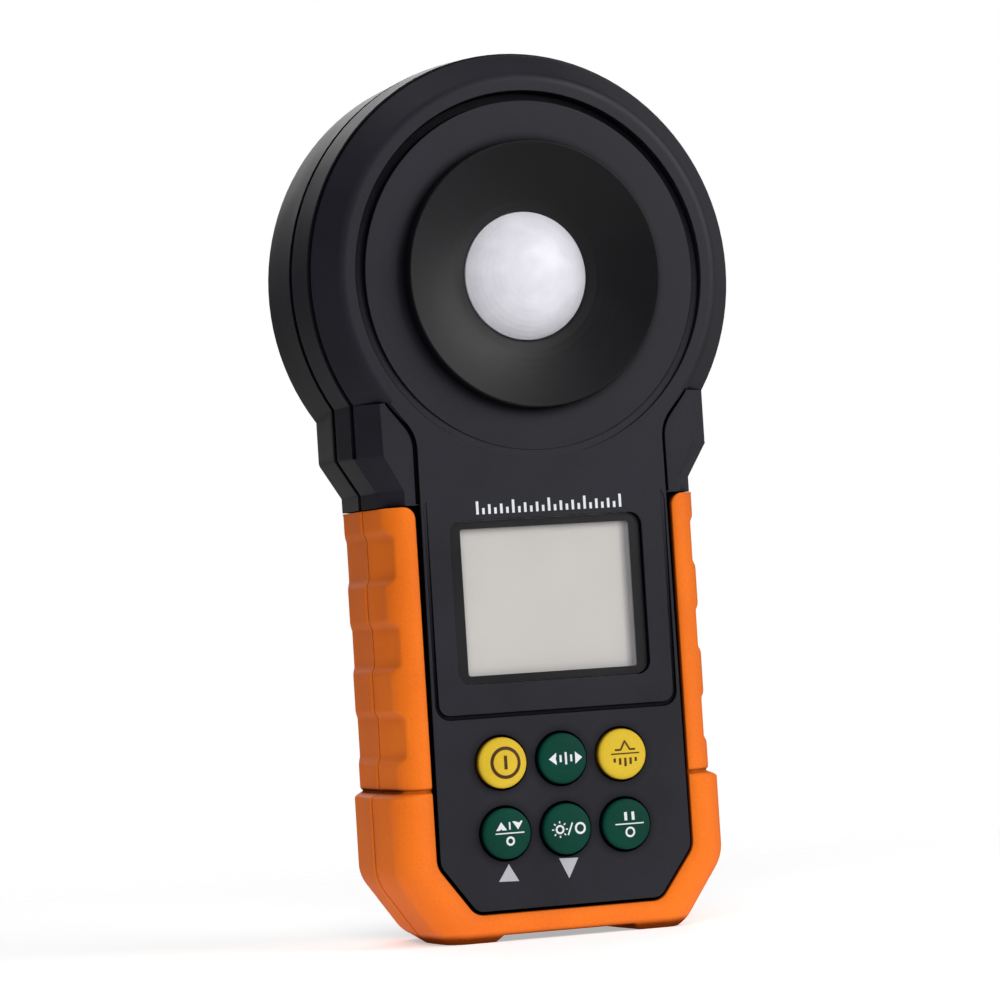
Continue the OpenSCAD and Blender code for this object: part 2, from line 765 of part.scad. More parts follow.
module keypad_mat() {
    color("#4a4c50") difference() {
        union() {
            block(mat_half_w, mat_z0, mat_z1, mat_h, mat_h + mat_t, 2);
            difference() {
                block(mat_half_w, mat_z0, mat_z1, main_h, mat_h + eps, 2);
                block(mat_half_w - 1.5, mat_z0 + 1.5, mat_z1 - 1.5, 0, far, 1);
            }
            for (x = columns, z = [key_row_1_z, key_row_2_z])
                post(x, z, mat_hole_r + 1.3, mat_h, mat_h + 2.5);
        }
        for (x = columns, z = [key_row_1_z, key_row_2_z]) post(x, z, mat_hole_r, 0, far);
    }
}

// One key: domed cap, retaining flange under the face and a stem that carries the contact pill
module key(column, z, shade) {
    flange_top = inner_h - 0.4;
    color(shade) translate([columns[column], 0, z]) rotate([90, 0, 0]) rotate_extrude()
        polygon([[0, pill_h + pill_t], [3.2, pill_h + pill_t], [3.2, flange_top - flange_t],
            [key_r + key_flange, flange_top - flange_t], [key_r + key_flange, flange_top],
            [key_r, flange_top], [key_r, key_wall_h], [key_r - 0.1, key_wall_h + 0.35],
            [key_r - 0.35, key_wall_h + 0.6], [key_r - 0.8, key_wall_h + 0.8], [key_r - 2, key_wall_h + 1],
            [key_r - 3.8, key_wall_h + 1.15], [0, key_top_h]]);
}

module pill(column, z) {
    color("#0e0e10") post(columns[column], z, 2.6, pill_h, pill_h + pill_t);
}

key_yellow = "#e8c62c";
key_green = "#0e5a44";
module key_power() { key(0, key_row_1_z, key_yellow); }
module key_range() { key(1, key_row_1_z, key_green); }
module key_peak() { key(2, key_row_1_z, key_yellow); }
module key_max_min() { key(0, key_row_2_z, key_green); }
module key_unit() { key(1, key_row_2_z, key_green); }
module key_hold() { key(2, key_row_2_z, key_green); }
module pill_power() { pill(0, key_row_1_z); }
module pill_range() { pill(1, key_row_1_z); }
module pill_peak() { pill(2, key_row_1_z); }
module pill_max_min() { pill(0, key_row_2_z); }
module pill_unit() { pill(1, key_row_2_z); }
module pill_hold() { pill(2, key_row_2_z); }

// Battery ----------------------------------------------------------------------------------------

module battery_cover() {
    color("#2c2d31") difference() {
        union() {
            block(cover_half_w, cover_z0, cover_z1, -cover_h - cover_t + 0.2, -cover_h - skin_gap, 2.8);
            for (z = [54:3:66]) block(8, z, z + 1.2, -back_h, -cover_h - 1, 0.5);
        }
        post(0, cover_screw_z, 1.7, -far, far);
        post(0, cover_screw_z, 3, -far, -21);
    }
}

module battery_cover_screw() {
    color("#c4c8cc") translate([0, 0, cover_screw_z]) screw(cover_screw_r, 2.7, 0.9, 6.5, -21 - skin_gap);
}

module battery_pad() {
    color("#3a3a3c") block(9, 24, 50, -cover_h, -cell_y - cell_t - skin_gap);
}

module cover_insert() {
    color("#c9a227") difference() {
        post(0, cover_screw_z, insert_r, -19, -13);
        post(0, cover_screw_z, cover_screw_r + 0.1, -far, far);
    }
}

module battery_9v() {
    color("#5b6067") {
        block(cell_half_w, cell_z0, cell_z0 + cell_l, -cell_y - cell_t, -cell_y, 0.8);
        for (x = [-terminal_x, terminal_x])
            translate([x, cell_y + cell_t / 2, cell_z0 + cell_l])
                cylinder(r = x < 0 ? 2.9 : 3.9, h = terminal_l);
    }
}

module battery_snap() {
    top = cell_z0 + cell_l;
    color("#141416") difference() {
        block(12.8, top + 0.3, top + 0.3 + snap_l, -cell_y - 15.5, -cell_y - 2);
        for (x = [-terminal_x, terminal_x])
            translate([x, cell_y + cell_t / 2, top]) cylinder(r = 4.3, h = terminal_l + 0.4);
    }
}

// A lead from the snap, through the slot in the bay's end wall, to the back of the main board
module battery_lead(x) {
    top = cell_z0 + cell_l + 0.3 + snap_l;
    tube(smooth([[x, 6, top], [x, 6, top + 2.5], [x, 5.5, bay_z1 + 0.5], [x, 3.2, bay_z1 + 5],
        [x, -1.5, bay_z1 + 8], [x, -main_h + main_t + 0.35, bay_z1 + 9]], 3), lead_r);
}

module battery_lead_red() {
    color("#c02020") battery_lead(3.5);
}

module battery_lead_black() {
    color("#161618") battery_lead(-3.5);
}

// Fasteners --------------------------------------------------------------------------------------

module case_screws() {
    color("#b8bcc2") at_all(case_screw_pos) screw(case_r, 2.8, 1.8, 24, -16);
}

module tripod_insert() {
    color("#c9a227") difference() {
        post(0, tripod_z, 4, -back_h + 0.1, -12.5);
        post(0, tripod_z, tripod_r, -far, -13.5);
    }
}

front_shell();
rear_shell();
front_overmould();
rear_overmould();
sensor_bezel();
diffuser_dome();
dome_gasket();
sensor_clamp_plate();
clamp_screws();
correction_filter();
filter_holder();
photodiode();
sensor_board();
sensor_board_screws();
sensor_lead();
sensor_socket();
lcd_window();
window_border();
lcd_glass();
lcd_backlight();
lcd_frame();
zebra_strips();
main_board();
main_board_screws();
processor();
crystal();
board_parts();
keypad_mat();
key_power();
key_range();
key_peak();
key_max_min();
key_unit();
key_hold();
pill_power();
pill_range();
pill_peak();
pill_max_min();
pill_unit();
pill_hold();
battery_cover();
battery_cover_screw();
battery_pad();
cover_insert();
battery_9v();
battery_snap();
battery_lead_red();
battery_lead_black();
case_screws();
tripod_insert();
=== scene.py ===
"""Handheld light meter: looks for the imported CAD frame.

Lengths are in metres, in the CAD frame. The overmoulds and the printed marks are worked out in mm, and
scaled where their points are made.
"""
import math

import bmesh
import bpy
from mathutils import Matrix, Vector


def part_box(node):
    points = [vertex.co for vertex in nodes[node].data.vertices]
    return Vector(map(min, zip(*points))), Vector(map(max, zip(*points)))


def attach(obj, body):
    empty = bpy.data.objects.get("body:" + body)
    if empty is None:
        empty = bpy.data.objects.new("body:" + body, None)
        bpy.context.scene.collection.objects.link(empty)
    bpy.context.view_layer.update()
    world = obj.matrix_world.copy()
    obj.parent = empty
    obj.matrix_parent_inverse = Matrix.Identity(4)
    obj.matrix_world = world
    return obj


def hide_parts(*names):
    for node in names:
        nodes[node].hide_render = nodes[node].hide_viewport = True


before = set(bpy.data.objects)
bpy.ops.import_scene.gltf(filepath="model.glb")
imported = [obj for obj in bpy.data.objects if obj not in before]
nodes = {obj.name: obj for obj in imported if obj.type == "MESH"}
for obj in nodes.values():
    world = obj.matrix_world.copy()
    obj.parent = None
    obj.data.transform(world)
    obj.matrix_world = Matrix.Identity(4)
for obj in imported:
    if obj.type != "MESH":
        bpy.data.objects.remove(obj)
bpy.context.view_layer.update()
scene = bpy.context.scene
MM = 0.001

# Places in mm, taken from the frame where a box gives them ----------------------------------------

FACE_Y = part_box("front_shell")[0].y / MM       # front face of the black panel
BUMPER_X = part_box("front_overmould")[1].x / MM
GRIP_X = 38.4
SEAM = 0.25                                    # half the line between the two overmoulds
NOTCH_Z = 35.3                                 # groove between the grip and the bumper
CREVICE_REACH = 2.6                            # how far a surface looks for a wall that shades it, for the painted shade in grooves
LCD_RIGHT = 20.7                               # right edge of the visible display


# Node materials ----------------------------------------------------------------------------------

class Nodes:
    """A short way to build a node tree: add a node, join sockets."""

    def __init__(self, tree):
        self.tree = tree

    def add(self, kind, **inputs):
        node = self.tree.nodes.new(kind)
        for key, value in inputs.items():
            self.feed(node, key.replace("_", " "), value)
        return node

    def feed(self, node, key, value):
        if isinstance(value, bpy.types.NodeSocket):
            self.tree.links.new(value, node.inputs[key])
        else:
            node.inputs[key].default_value = value

    def span(self, value, low, high, out_low=0.0, out_high=1.0, easing="LINEAR"):
        node = self.add("ShaderNodeMapRange")
        node.interpolation_type = easing
        self.feed(node, 0, value)
        for index, number in enumerate((low, high, out_low, out_high)):
            node.inputs[index + 1].default_value = number
        return node.outputs[0]

    def blend(self, factor, first, second):
        """Between two numbers, as mix is between two colours."""
        node = self.add("ShaderNodeMix")
        self.feed(node, 0, factor)
        self.feed(node, 2, first)
        self.feed(node, 3, second)
        return node.outputs[0]

    def mix(self, factor, first, second):
        node = self.add("ShaderNodeMix")
        node.data_type = "RGBA"
        self.feed(node, 0, factor)
        self.feed(node, 6, first)
        self.feed(node, 7, second)
        return node.outputs[2]

    def maths(self, operation, first, second):
        node = self.add("ShaderNodeMath")
        node.operation = operation
        self.feed(node, 0, first)
        self.feed(node, 1, second)
        return node.outputs[0]


class Surface(Nodes):
    """The node tree of a new material. Its textures are fixed to the object."""

    def __init__(self, name):
        self.material = bpy.data.materials.new(name)
        self.material.use_nodes = True
        super().__init__(self.material.node_tree)
        self.shader = self.tree.nodes["Principled BSDF"]
        self.place = self.add("ShaderNodeTexCoord").outputs["Object"]

    def noise(self, scale, detail=3.0, roughness=0.5):
        node = self.add("ShaderNodeTexNoise", Vector=self.place, Scale=scale, Detail=detail)
        node.inputs["Roughness"].default_value = roughness
        return node.outputs["Fac"]

    def bump(self, height, strength, distance, normal=None):
        node = self.add("ShaderNodeBump", Height=height, Strength=strength, Distance=distance)
        if normal is not None:
            self.feed(node, "Normal", normal)
        return node.outputs["Normal"]

    def openness(self):
        """1 on open faces, down to 0 inside narrow grooves; the mask for the painted shade in grooves."""
        node = self.tree.nodes.new("ShaderNodeAmbientOcclusion")
        node.samples = 6
        node.inputs["Distance"].default_value = CREVICE_REACH * MM
        return self.span(node.outputs["AO"], 0.5, 0.92)

    def rounding(self, radius):
        """Shades sharp edges as if they were rounded."""
        node = self.tree.nodes.new("ShaderNodeBevel")
        node.samples = 4
        node.inputs["Radius"].default_value = radius
        return node.outputs["Normal"]


def rgb(code):
    """Linear colour from a hex code."""
    parts = [int(code[i:i + 2], 16) / 255 for i in (0, 2, 4)]
    return tuple(((c + 0.055) / 1.055) ** 2.4 if c > 0.04045 else c / 12.92 for c in parts) + (1.0,)


def plastic(name, dark, light, roughness=0.5, grain=0.3, depth=0.02, edge=0.0, specular=0.5, painted_groove_shade=None):
    """Moulded plastic or rubber: a grain of that size in mm, with soft mottling in colour and gloss.

    Narrow grooves take a painted shade colour and lose their gloss, both as painted shade.
    """
    n = Surface(name)
    fine = n.noise(1.0 / (grain * MM), 2.0, 0.6)
    broad = n.noise(55.0, 3.0)
    mottle = n.maths("ADD", n.maths("MULTIPLY", fine, 0.45), n.maths("MULTIPLY", broad, 0.55))
    colour = n.mix(n.span(mottle, 0.35, 0.65), rgb(dark), rgb(light))
    n.shader.inputs["Specular IOR Level"].default_value = specular
    # painted shade: grooves get a darker colour and less gloss the more enclosed they are
    if painted_groove_shade:
        openness = n.openness()
        colour = n.mix(openness, rgb(painted_groove_shade), colour)
        n.feed(n.shader, "Specular IOR Level", n.maths("MULTIPLY", openness, specular))
    n.feed(n.shader, "Base Color", colour)
    n.feed(n.shader, "Roughness", n.span(broad, 0.3, 0.7, roughness - 0.05, roughness + 0.06))
    normal = n.rounding(edge * MM) if edge else None
    n.feed(n.shader, "Normal", n.bump(fine, 0.35, depth * MM, normal))
    return n.material


TOOL_MARKS = (1.0, 1.0, 0.05)                  # the marks on metal are stretched along the third axis


def metal(name, dark, light, roughness=0.3):
    """Metal with fine tool marks."""
    n = Surface(name)
    stretch = n.add("ShaderNodeMapping", Vector=n.place)
    stretch.inputs["Scale"].default_value = TOOL_MARKS
    marks = n.add("ShaderNodeTexNoise", Vector=stretch.outputs["Vector"], Scale=3000.0, Detail=3.0)
    lines = marks.outputs["Fac"]
    n.feed(n.shader, "Base Color", n.mix(n.span(lines, 0.3, 0.7), rgb(dark), rgb(light)))
    n.feed(n.shader, "Roughness", n.span(lines, 0.3, 0.7, roughness - 0.08, roughness + 0.1))
    n.shader.inputs["Metallic"].default_value = 1.0
    n.feed(n.shader, "Normal", n.bump(lines, 0.25, 0.01 * MM))
    return n.material


def opal(name):
    """Milky diffuser plastic that light passes into."""
    n = Surface(name)
    haze = n.noise(220.0, 3.0)
    n.feed(n.shader, "Base Color", n.mix(n.span(haze, 0.3, 0.7), rgb("e4e3ec"), rgb("eeedf4")))
    n.feed(n.shader, "Roughness", n.span(haze, 0.3, 0.7, 0.34, 0.42))
    n.shader.inputs["Subsurface Weight"].default_value = 0.5
    n.shader.inputs["Subsurface Radius"].default_value = (1.0, 1.0, 1.0)
    n.shader.inputs["Subsurface Scale"].default_value = 1.5 * MM
    n.shader.inputs["Coat Weight"].default_value = 0.1
    n.feed(n.shader, "Normal", n.bump(n.noise(2600.0, 2.0), 0.1, 0.01 * MM))
    return n.material


def clear_window(name):
    """Thin clear acrylic: nearly all the light passes, with a faint haze and a gloss at grazing angles."""
    n = Surface(name)
    smear = n.noise(60.0, 4.0)
    n.feed(n.shader, "Base Color", n.mix(n.span(smear, 0.3, 0.7), rgb("f0f0f0"), rgb("ffffff")))
    n.feed(n.shader, "Roughness", n.span(smear, 0.3, 0.7, 0.06, 0.14))
    n.shader.inputs["Alpha"].default_value = 0.08
    n.shader.inputs["IOR"].default_value = 1.45
    n.feed(n.shader, "Normal", n.bump(smear, 0.05, 0.02 * MM))
    return n.material


def lcd_face(name):
    """Reflective display with nothing shown: a warm grey with a very fine cell pattern.

    A strip along its right edge is painted darker, like the shade of the frame around it.
    """
    n = Surface(name)
    across = n.add("ShaderNodeSeparateXYZ", Vector=n.place).outputs["X"]
    cells = n.noise(4200.0, 1.0)
    drift = n.noise(28.0, 2.0)
    tone = n.mix(n.span(drift, 0.3, 0.7), rgb("bdb9b5"), rgb("c4c0bb"))
    shade = n.span(across, (LCD_RIGHT - 2.2) * MM, (LCD_RIGHT - 0.5) * MM, 0.0, 0.85)
    tone = n.mix(shade, tone, rgb("605d62"))
    n.feed(n.shader, "Base Color", n.mix(n.span(cells, 0.35, 0.65, 0.0, 0.05), tone, rgb("aca7a6")))
    n.feed(n.shader, "Roughness", n.span(cells, 0.3, 0.7, 0.42, 0.5))
    n.feed(n.shader, "Normal", n.bump(cells, 0.05, 0.002 * MM))
    return n.material


def circuit(name):
    """Solder mask over copper tracks."""
    n = Surface(name)
    grid = n.add("ShaderNodeTexVoronoi", Vector=n.place, Scale=420.0)
    grid.distance = "CHEBYCHEV"
    tracks = n.span(grid.outputs["Distance"], 0.42, 0.5)
    n.feed(n.shader, "Base Color", n.mix(tracks, rgb("1d5c38"), rgb("2c7a4a")))
    n.feed(n.shader, "Roughness", n.span(n.noise(300.0), 0.3, 0.7, 0.28, 0.4))
    n.feed(n.shader, "Normal", n.bump(tracks, 0.3, 0.02 * MM))
    return n.material


SHELL = plastic(
    "shell_plastic", "17171e", "20202a", 0.5,
    grain=0.32, depth=0.03, edge=0.25, specular=0.42, painted_groove_shade="060607")
SHELL_BACK = plastic(
    "shell_back_plastic", "16161b", "1e1e25", 0.5,
    grain=0.32, depth=0.03, edge=0.25, specular=0.38, painted_groove_shade="050506")
BEZEL = plastic(
    "bezel_plastic", "09090c", "0f0f13", 0.48,
    grain=0.28, depth=0.025, edge=0.2, specular=0.5)
SKIN = plastic(
    "orange_rubber", "e66b12", "f27818", 0.62,
    grain=0.45, depth=0.03, specular=0.28, painted_groove_shade="6a2c0a")
YELLOW = plastic(
    "yellow_rubber", "c9a81c", "dfbd36", 0.6,
    grain=0.24, depth=0.05, specular=0.25, painted_groove_shade="4a2c08")
GREEN = plastic(
    "green_rubber", "023629", "064638", 0.6,
    grain=0.24, depth=0.05, specular=0.15, painted_groove_shade="03100c")
WHITE_INK = plastic("white_ink", "d4d6dc", "e6e8ec", 0.5, grain=0.2, depth=0.01)
GREY_INK = plastic("grey_ink", "a4a6ac", "b2b4ba", 0.5, grain=0.2, depth=0.01)
BROWN_INK = plastic("brown_ink", "40200a", "50290c", 0.5, grain=0.2, depth=0.01)

STEEL = ("9a9fa6", "c6cad0")                   # darker and lighter tone
BRASS = ("a8842a", "d4b04c")

FINISH = {
    "front_shell": SHELL,
    "rear_shell": SHELL_BACK,
    "front_overmould": SKIN,
    "rear_overmould": SKIN,
    "sensor_bezel": BEZEL,
    "diffuser_dome": opal("opal_dome"),
    "dome_gasket": plastic("gasket_rubber", "161618", "202022", 0.7),
    "sensor_clamp_plate": plastic("clamp_plastic", "232427", "2c2d31", 0.55),
    "clamp_screws": metal("zinc_steel", *STEEL),
    "correction_filter": plastic("filter_glass", "6d9a7c", "86b493", 0.12, depth=0.002),
    "filter_holder": plastic("holder_plastic", "121214", "1a1a1c", 0.6),
    "photodiode": metal("gold_can", "a88a3e", "d6bb72", 0.28),
    "sensor_board": circuit("sensor_board_mask"),
    "sensor_board_screws": metal("zinc_steel_small", *STEEL),
    "sensor_lead": plastic("ribbon_pvc", "7c8086", "9a9ea4", 0.5),
    "sensor_socket": plastic("socket_nylon", "dcd8cc", "f0ecdf", 0.5),
    "lcd_window": clear_window("window_acrylic"),
    "window_border": plastic("border_ink", "0e0e12", "17171b", 0.35, depth=0.005),
    "lcd_glass": lcd_face("lcd_reflective"),
    "lcd_backlight": plastic("light_guide", "e6e6e0", "f4f4f0", 0.25, depth=0.005),
    "lcd_frame": plastic("frame_plastic", "cdcdc8", "dcdcd8", 0.5),
    "zebra_strips": plastic("zebra_rubber", "d86c90", "ec8aaa", 0.6),
    "main_board": circuit("main_board_mask"),
    "main_board_screws": metal("zinc_steel_board", *STEEL),
    "processor": plastic("chip_epoxy", "1a1a1c", "262628", 0.5),
    "crystal": metal("crystal_can", "b6babf", "d8dbdf", 0.3),
    "board_parts": plastic("ceramic_parts", "a57f40", "c39a54", 0.45),
    "keypad_mat": plastic("mat_silicone", "404246", "54565a", 0.65),
    "battery_cover": plastic(
        "cover_plastic", "28292d", "333439", 0.52, grain=0.32, depth=0.03, edge=0.2),
    "battery_cover_screw": metal("cover_screw_steel", "a4a8ae", "ccd0d5"),
    "battery_pad": plastic("foam_pad", "2c2c2e", "444446", 0.9, grain=0.6, depth=0.2),
    "cover_insert": metal("cover_brass", *BRASS),
    "battery_9v": plastic("battery_sleeve", "4c5157", "656a72", 0.35, depth=0.005),
    "battery_snap": plastic("snap_vinyl", "101012", "1a1a1c", 0.6),
    "battery_lead_red": plastic("red_pvc", "ac1a1a", "cc2828", 0.45),
    "battery_lead_black": plastic("black_pvc", "121214", "1c1c1e", 0.45),
    "case_screws": metal("case_screw_steel", *STEEL),
    "tripod_insert": metal("tripod_brass", *BRASS),
}
KEY_SHADES = {
    "power": YELLOW, "range": GREEN, "peak": YELLOW,
    "max_min": GREEN, "unit": GREEN, "hold": GREEN,
}
CARBON = plastic("carbon_pill", "0c0c0e", "161618", 0.7)
for key_name, shade in KEY_SHADES.items():
    FINISH["key_" + key_name] = shade
    FINISH["pill_" + key_name] = CARBON


def finish_nodes():
    """Gives each CAD node its material."""
    for name, material in FINISH.items():
        mesh = nodes[name].data
        mesh.materials.clear()
        mesh.materials.append(material)


# Mesh building -----------------------------------------------------------------------------------

def new_piece(name, mesh, material, body, slot, *stands_for):
    """Puts a mesh in the scene as a piece that rides on a body. slot is not used."""
    piece = bpy.data.objects.new(name, mesh)
    scene.collection.objects.link(piece)
    mesh.materials.append(material)
    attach(piece, body)
    if stands_for:
        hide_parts(*stands_for)
    return piece


def mesh_from(name, points, faces, smooth=True):
    """Mesh with its faces turned outwards."""
    mesh = bpy.data.meshes.new(name)
    mesh.from_pydata([tuple(p) for p in points], [], faces)
    mesh.validate()
    bm = bmesh.new()
    bm.from_mesh(mesh)
    bmesh.ops.recalc_face_normals(bm, faces=bm.faces)
    bm.to_mesh(mesh)
    bm.free()
    for face in mesh.polygons:
        face.use_smooth = smooth
    return mesh


def lofted(name, rings):
    """Closed skin over closed rings of equal length, with a cap on each end."""
    count = len(rings[0])
    points = [p for ring in rings for p in ring]
    faces = []
    for i in range(len(rings) - 1):
        for k in range(count):
            a, b = i * count + k, i * count + (k + 1) % count
            faces.append((a, b, b + count, a + count))
    last = (len(rings) - 1) * count
    faces.append(tuple(range(count - 1, -1, -1)))
    faces.append(tuple(range(last, last + count)))
    return mesh_from(name, points, faces)


def arc(corner, start, end, radius, steps):
    """Points of a rounded corner between the directions to start and end."""
    u = (start - corner).normalized()
    v = (end - corner).normalized()
    half = u.angle(v) / 2
    centre = corner + (u + v).normalized() * radius / math.sin(half)
    first = corner + u * radius / math.tan(half) - centre
    last = corner + v * radius / math.tan(half) - centre
    turn = math.atan2(first.x * last.y - first.y * last.x, first.dot(last))
    return [centre + Matrix.Rotation(turn * i / steps, 2) @ first for i in range(steps + 1)]


# Soft overmould ----------------------------------------------------------------------------------

def smooth_step(value, low, high):
    """0 up to low, 1 from high, and a soft rise between them."""
    t = min(max((value - low) / (high - low), 0.0), 1.0)
    return t * t * (3 - 2 * t)


POCKETS = ((83.8, 93), (64, 72.5), (43.2, 52.2))   # finger pockets: lower and upper end
POCKET_DEPTH = 0.85
POCKET_LEAN = 0.05                             # front pockets: extra depth per mm towards the face
POCKET_BLEND = 0.25                            # softness of a pocket's edge beside the rounding
NOTCH_DEPTH = 1.0
NOTCH_HALF_W = 0.5
NOTCH_ON_FACE = 0.8                            # share of the notch's depth where it crosses the face
END_ROUNDING = 0.15                            # at the top end of the grip
CORNER_ROUNDING = 2.8                          # the same beside the panel
FOOT_X, FOOT_H = 17.6, 1.5                     # inner end and height of the two feet
SIDE_X = 34                                    # sections outside this have the pockets and the notch
WALL, WALL_SHARE = 1.7, 0.6                    # thickness at the side, at most this share of the width
FLAT_LEAST = 0.3                               # least width of the flat between rounding and panel
PANEL_BEVEL_W, PANEL_BEVEL_H = 0.25, 0.3       # bevel of the edge beside the panel

# Plan corners, as (x, z), with the radius and the number of steps of each rounding
OUTER_CORNERS = (((BUMPER_X, 15.2), 10, 12), ((28.8, -1.2), 9.5, 10))
PANEL_CORNERS = (((31.35, 17.95), 5, 12), ((22.75, 6.45), 4, 10))

# Stations along the plan, closer together where the shape turns
CORNER_STATIONS = (0.0, 0.03, 0.08, 0.15, 0.22, 0.3, 0.5, 0.8, 1.3, 1.8, 2.3, 2.8)   # below the top end
SIDE_START, SIDE_STEP = 3.2, 0.5               # along the straight side: first one, and the gap
STEP_ABOVE, STEP_BELOW, STEP_STATIONS = 3, 4, 40     # around the notch
LOWER_STATIONS = 12                            # from there to the first rounding
SLOPE_STATIONS = 14                            # between the two roundings
FOOT_STATION_GAP = 0.3
UNDER_STATIONS = (
    *range(25, 18, -1),
    *(FOOT_X - FOOT_STATION_GAP * i for i in range(-1, 7)),
    14, 11, 8, 5, 2, 0,
)

# The edge at the seam, as (depth in from the side, height over the seam)
SEAM_EDGE = ((0.55, 0.0), (0.22, 0.15), (0.06, 0.4), (0.0, 0.75))
EDGE_STEPS = 18


def pocket_mask(z):
    """1 in a finger pocket, 0 between pockets, with soft ends."""
    out, into = 1.6, 0.2
    return max(
        smooth_step(z, lo - out, lo + into) - smooth_step(z, hi - into, hi + out)
        for lo, hi in POCKETS)


def below_notch(z):
    """0 on the grip and 1 on the bumper, which steps out under the notch."""
    return smooth_step(-z, -NOTCH_Z - 0.3, -NOTCH_Z + 1.5)


def rounding_inset(distance, radius):
    """How far a rounded edge is set in at a distance from the end."""
    gap = min(max(radius - distance, 0.0), radius)
    return radius - math.sqrt(radius * radius - gap * gap)


def rounded_corners(corners):
    """The roundings of two corners, on a line that comes straight down and ends on the middle line."""
    (first, radius_a, steps_a), (second, radius_b, steps_b) = corners
    first, second = Vector(first), Vector(second)
    return (
        arc(first, first + Vector((0, 1)), second, radius_a, steps_a),
        arc(second, first, Vector((0, second.y)), radius_b, steps_b),
    )


def skin_path(top):
    """Right half of the overmould as pairs of an outer and an inner plan point, from the top to the middle.

    Every point is (x, z). The outer line steps out below the notch.
    """
    outer_a, outer_b = rounded_corners(OUTER_CORNERS)
    inner_a, inner_b = rounded_corners(PANEL_CORNERS)
    inner = PANEL_CORNERS[0][0][0]
    pairs = []
    for depth in CORNER_STATIONS:
        cut = rounding_inset(depth, CORNER_ROUNDING)
        pairs.append((Vector((GRIP_X, top - depth)), Vector((inner + cut, top - depth))))
    start, end = top - SIDE_START, NOTCH_Z + STEP_ABOVE
    steps = int((start - end) / SIDE_STEP)
    for i in range(steps):
        z = start + (end - start) * i / steps
        pairs.append((Vector((GRIP_X, z)), Vector((inner, z))))
    for i in range(STEP_STATIONS + 1):
        z = end - (STEP_ABOVE + STEP_BELOW) * i / STEP_STATIONS
        x = GRIP_X + (BUMPER_X - GRIP_X) * below_notch(z)
        pairs.append((Vector((x, z)), Vector((inner, z))))
    start = pairs[-1][0].y
    for i in range(1, LOWER_STATIONS):
        share = i / LOWER_STATIONS
        pairs.append((
            Vector((BUMPER_X, start + (outer_a[0].y - start) * share)),
            Vector((inner, start + (inner_a[0].y - start) * share)),
        ))
    pairs += list(zip(outer_a, inner_a))
    for i in range(1, SLOPE_STATIONS):
        share = i / SLOPE_STATIONS
        pairs.append((outer_a[-1].lerp(outer_b[0], share), inner_a[-1].lerp(inner_b[0], share)))
    pairs += list(zip(outer_b, inner_b))
    outer_end, inner_end = outer_b[-1], inner_b[-1]
    for x in UNDER_STATIONS:
        if x < outer_end.x - 0.2:
            pairs.append((Vector((x, outer_end.y)), Vector((inner_end.x * x / outer_end.x, inner_end.y))))
    return pairs


def floor_level(x):
    """The feet stand on the floor, and between them the edge is raised."""
    return min(max(FOOT_X - abs(x), 0.0), FOOT_H)


def side_profile(sign, height, radius, reach, draft, pocket, notch, crown):
    """Outside of one cross-section as (depth in from the side, height over the seam plane) pairs.

    It goes from the seam up the side, round the edge and over to the panel. pocket, notch and crown are
    how deep the finger pocket, the notch and the end rounding cut there.
    """
    low = height - radius
    edge_start = SEAM + SEAM_EDGE[-1][1]
    edge_reach = min(radius, reach - FLAT_LEAST) - draft
    profile = [(depth, SEAM + h) for depth, h in SEAM_EDGE]
    profile += [(draft * t, edge_start + (low - edge_start) * t) for t in (0.2, 0.4, 0.6, 0.8, 1.0)]
    for i in range(1, EDGE_STEPS + 1):
        turn = math.radians(90 * i / EDGE_STEPS)
        profile.append((draft + edge_reach * (1 - math.cos(turn)), low + radius * math.sin(turn)))
    profile.append((reach - PANEL_BEVEL_W, height))
    lean = POCKET_LEAN if sign > 0 else 0.0
    shaped = []
    for depth, h in profile:
        if pocket:                                     # a flat cut into the side, blended into the rounding
            cut = pocket * (1 + lean / POCKET_DEPTH * h) + draft * h / low
            gap = depth - cut
            depth = cut + (gap + math.hypot(gap, POCKET_BLEND)) / 2
        for inset, on_face in ((notch, NOTCH_ON_FACE), (crown, 1.0)):
            if inset:
                facing = smooth_step(h, low, height)   # 0 on the side, 1 on the face
                depth += inset * (1 - facing)
                h -= inset * on_face * facing
        shaped.append((min(depth, reach), h))
    shaped.append((reach, height - PANEL_BEVEL_H - notch * NOTCH_ON_FACE - crown))
    return shaped


def skin_ring(pair, sign, top, height, radius, drafts, floor_h):
    """One closed cross-section of the overmould: its outside, and back along its inside."""
    outer, inner = pair
    reach = (inner - outer).length
    inward = (inner - outer) / reach
    pocket, notch, below = 0.0, 0.0, 1.0
    if outer.x > SIDE_X:
        pocket = POCKET_DEPTH * pocket_mask(outer.y)
        notch = NOTCH_DEPTH * math.exp(-(((outer.y - NOTCH_Z) / NOTCH_HALF_W) ** 2))
        below = below_notch(outer.y)
    draft = drafts[0] + (drafts[1] - drafts[0]) * below
    crown = rounding_inset(top - outer.y, END_ROUNDING)
    under = min(WALL + pocket + draft, reach * WALL_SHARE)
    profile = side_profile(sign, height, radius, reach, draft, pocket, notch, crown)
    profile += [(reach, floor_h), (under, floor_h), (under, SEAM)]
    ring = []
    for depth, h in profile:
        p = outer + inward * depth
        z = min(max(p.y, floor_level(p.x)), top)
        ring.append(Vector((p.x, -sign * h, z)) * MM)
    return ring


def overmould(name, node, sign, height, radius, drafts, floor_h):
    """One soft overmould in place of its CAD node. sign is 1 for the front one and -1 for the rear one.

    drafts are how much the side slopes in over its height, on the grip and on the bumper. floor_h is
    where the soft skin starts over the shell, beside the panel.
    """
    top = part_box(node)[1].z / MM
    right = [skin_ring(pair, sign, top, height, radius, drafts, floor_h) for pair in skin_path(top)]
    left = [[Vector((-p.x, p.y, p.z)) for p in ring] for ring in right[-2::-1]]
    mesh = lofted(name, right + left)
    return new_piece(name, mesh, SKIN, "case", "overmould", node)


# Printed marks -----------------------------------------------------------------------------------

